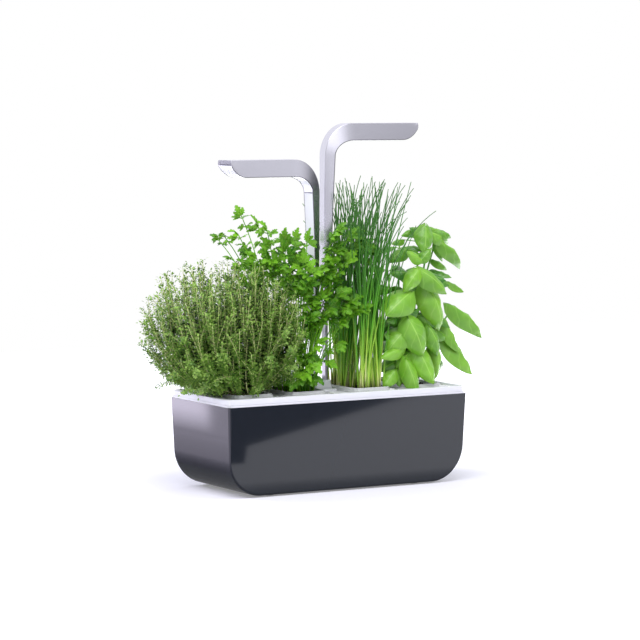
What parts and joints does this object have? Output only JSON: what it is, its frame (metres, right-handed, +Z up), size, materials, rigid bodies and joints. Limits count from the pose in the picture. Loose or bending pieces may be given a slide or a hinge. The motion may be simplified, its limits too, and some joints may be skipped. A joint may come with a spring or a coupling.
{
  "type": "countertop hydroponic garden",
  "caption": "Self-watering countertop herb garden: rounded graphite tank with a white deck, clear growing cups and L-shaped LED lamps that slide up and down on a central mast.",
  "frame": {"origin": "on the floor under the middle of the tank", "axes": "+X along the tank, to the right seen from the front; -Y to the front; +Z up"},
  "size_m": [0.57, 0.224, 0.541],
  "materials": {
    "graphite_plastic": "glossy moulded ABS",
    "white_plastic": "satin moulded ABS",
    "clear_plastic": "clear moulded polystyrene",
    "aluminium": "satin brushed and anodised",
    "opal": "opal diffuser",
    "soil": "crumbly growing medium",
    "felt": "pressed felt",
    "rubber": "matt",
    "circuit_board": "solder mask",
    "nylon": "moulded",
    "spring_steel": "plain",
    "black_plastic": "moulded",
    "silicone": "soft matt",
    "float_red": "moulded",
    "thyme": "leaves and woody stems",
    "parsley": "leaves and stalks",
    "chives": "hollow blades",
    "basil": "large smooth leaves"
  },
  "bodies": {
    "base": {"basil_plant": "basil", "button_dome": "silicone", "casing": "graphite_plastic", "chives_plant": "chives", "control_board": "circuit_board", "control_housing": "white_plastic", "dc_jack": "black_plastic", "deck": "white_plastic", "flap_pin": "spring_steel", "float_cage": "white_plastic", "foot_back_left": "rubber", "foot_back_right": "rubber", "foot_front_left": "rubber", "foot_front_right": "rubber", "growing_cup_1": "clear_plastic", "growing_cup_2": "clear_plastic", "growing_cup_3": "clear_plastic", "growing_cup_4": "clear_plastic", "mast_collar": "white_plastic", "mast_rail_left": "aluminium", "mast_rail_right": "aluminium", "parsley_plant": "parsley", "reservoir": "white_plastic", "substrate_1": "soil", "substrate_2": "soil", "substrate_3": "soil", "substrate_4": "soil", "thyme_plant": "thyme", "wick_1": "felt", "wick_2": "felt", "wick_3": "felt", "wick_4": "felt"},
    "left_lamp": {"diffuser_left": "opal", "friction_spring_left": "spring_steel", "lamp_cover_left": "aluminium", "led_board_left": "circuit_board", "post_strip_left": "white_plastic", "slide_bush_left": "nylon"},
    "right_lamp": {"diffuser_right": "opal", "friction_spring_right": "spring_steel", "lamp_cover_right": "aluminium", "led_board_right": "circuit_board", "post_strip_right": "white_plastic", "slide_bush_right": "nylon"},
    "button": {"mode_button": "white_plastic"},
    "flap": {"fill_flap": "white_plastic"},
    "float": {"level_float": "float_red"}
  },
  "joints": [
    {"name": "left_lamp_slide", "type": "slide", "parent": "base", "child": "left_lamp", "axis": [0, 0, 1], "range_m": [-0.0645, 0.053], "deforming": ["parsley_plant"]},
    {"name": "right_lamp_slide", "type": "slide", "parent": "base", "child": "right_lamp", "axis": [0, 0, 1], "range_m": [-0.1175, 0], "deforming": ["chives_plant"]},
    {"name": "mode_button_press", "type": "slide", "parent": "base", "child": "button", "axis": [0, 0, -1], "range_m": [0, 0.001], "stiffness_N_per_m": 600, "deforming": ["button_dome"]},
    {"name": "fill_flap_hinge", "type": "hinge", "parent": "base", "child": "flap", "pos_m": [0, -0.0275, 0.1436], "axis": [-1, 0, 0], "range_deg": [0, 90]},
    {"name": "level_float_rise", "type": "slide", "parent": "base", "child": "float", "axis": [0, 0, 1], "range_m": [0, 0.03]}
  ]
}
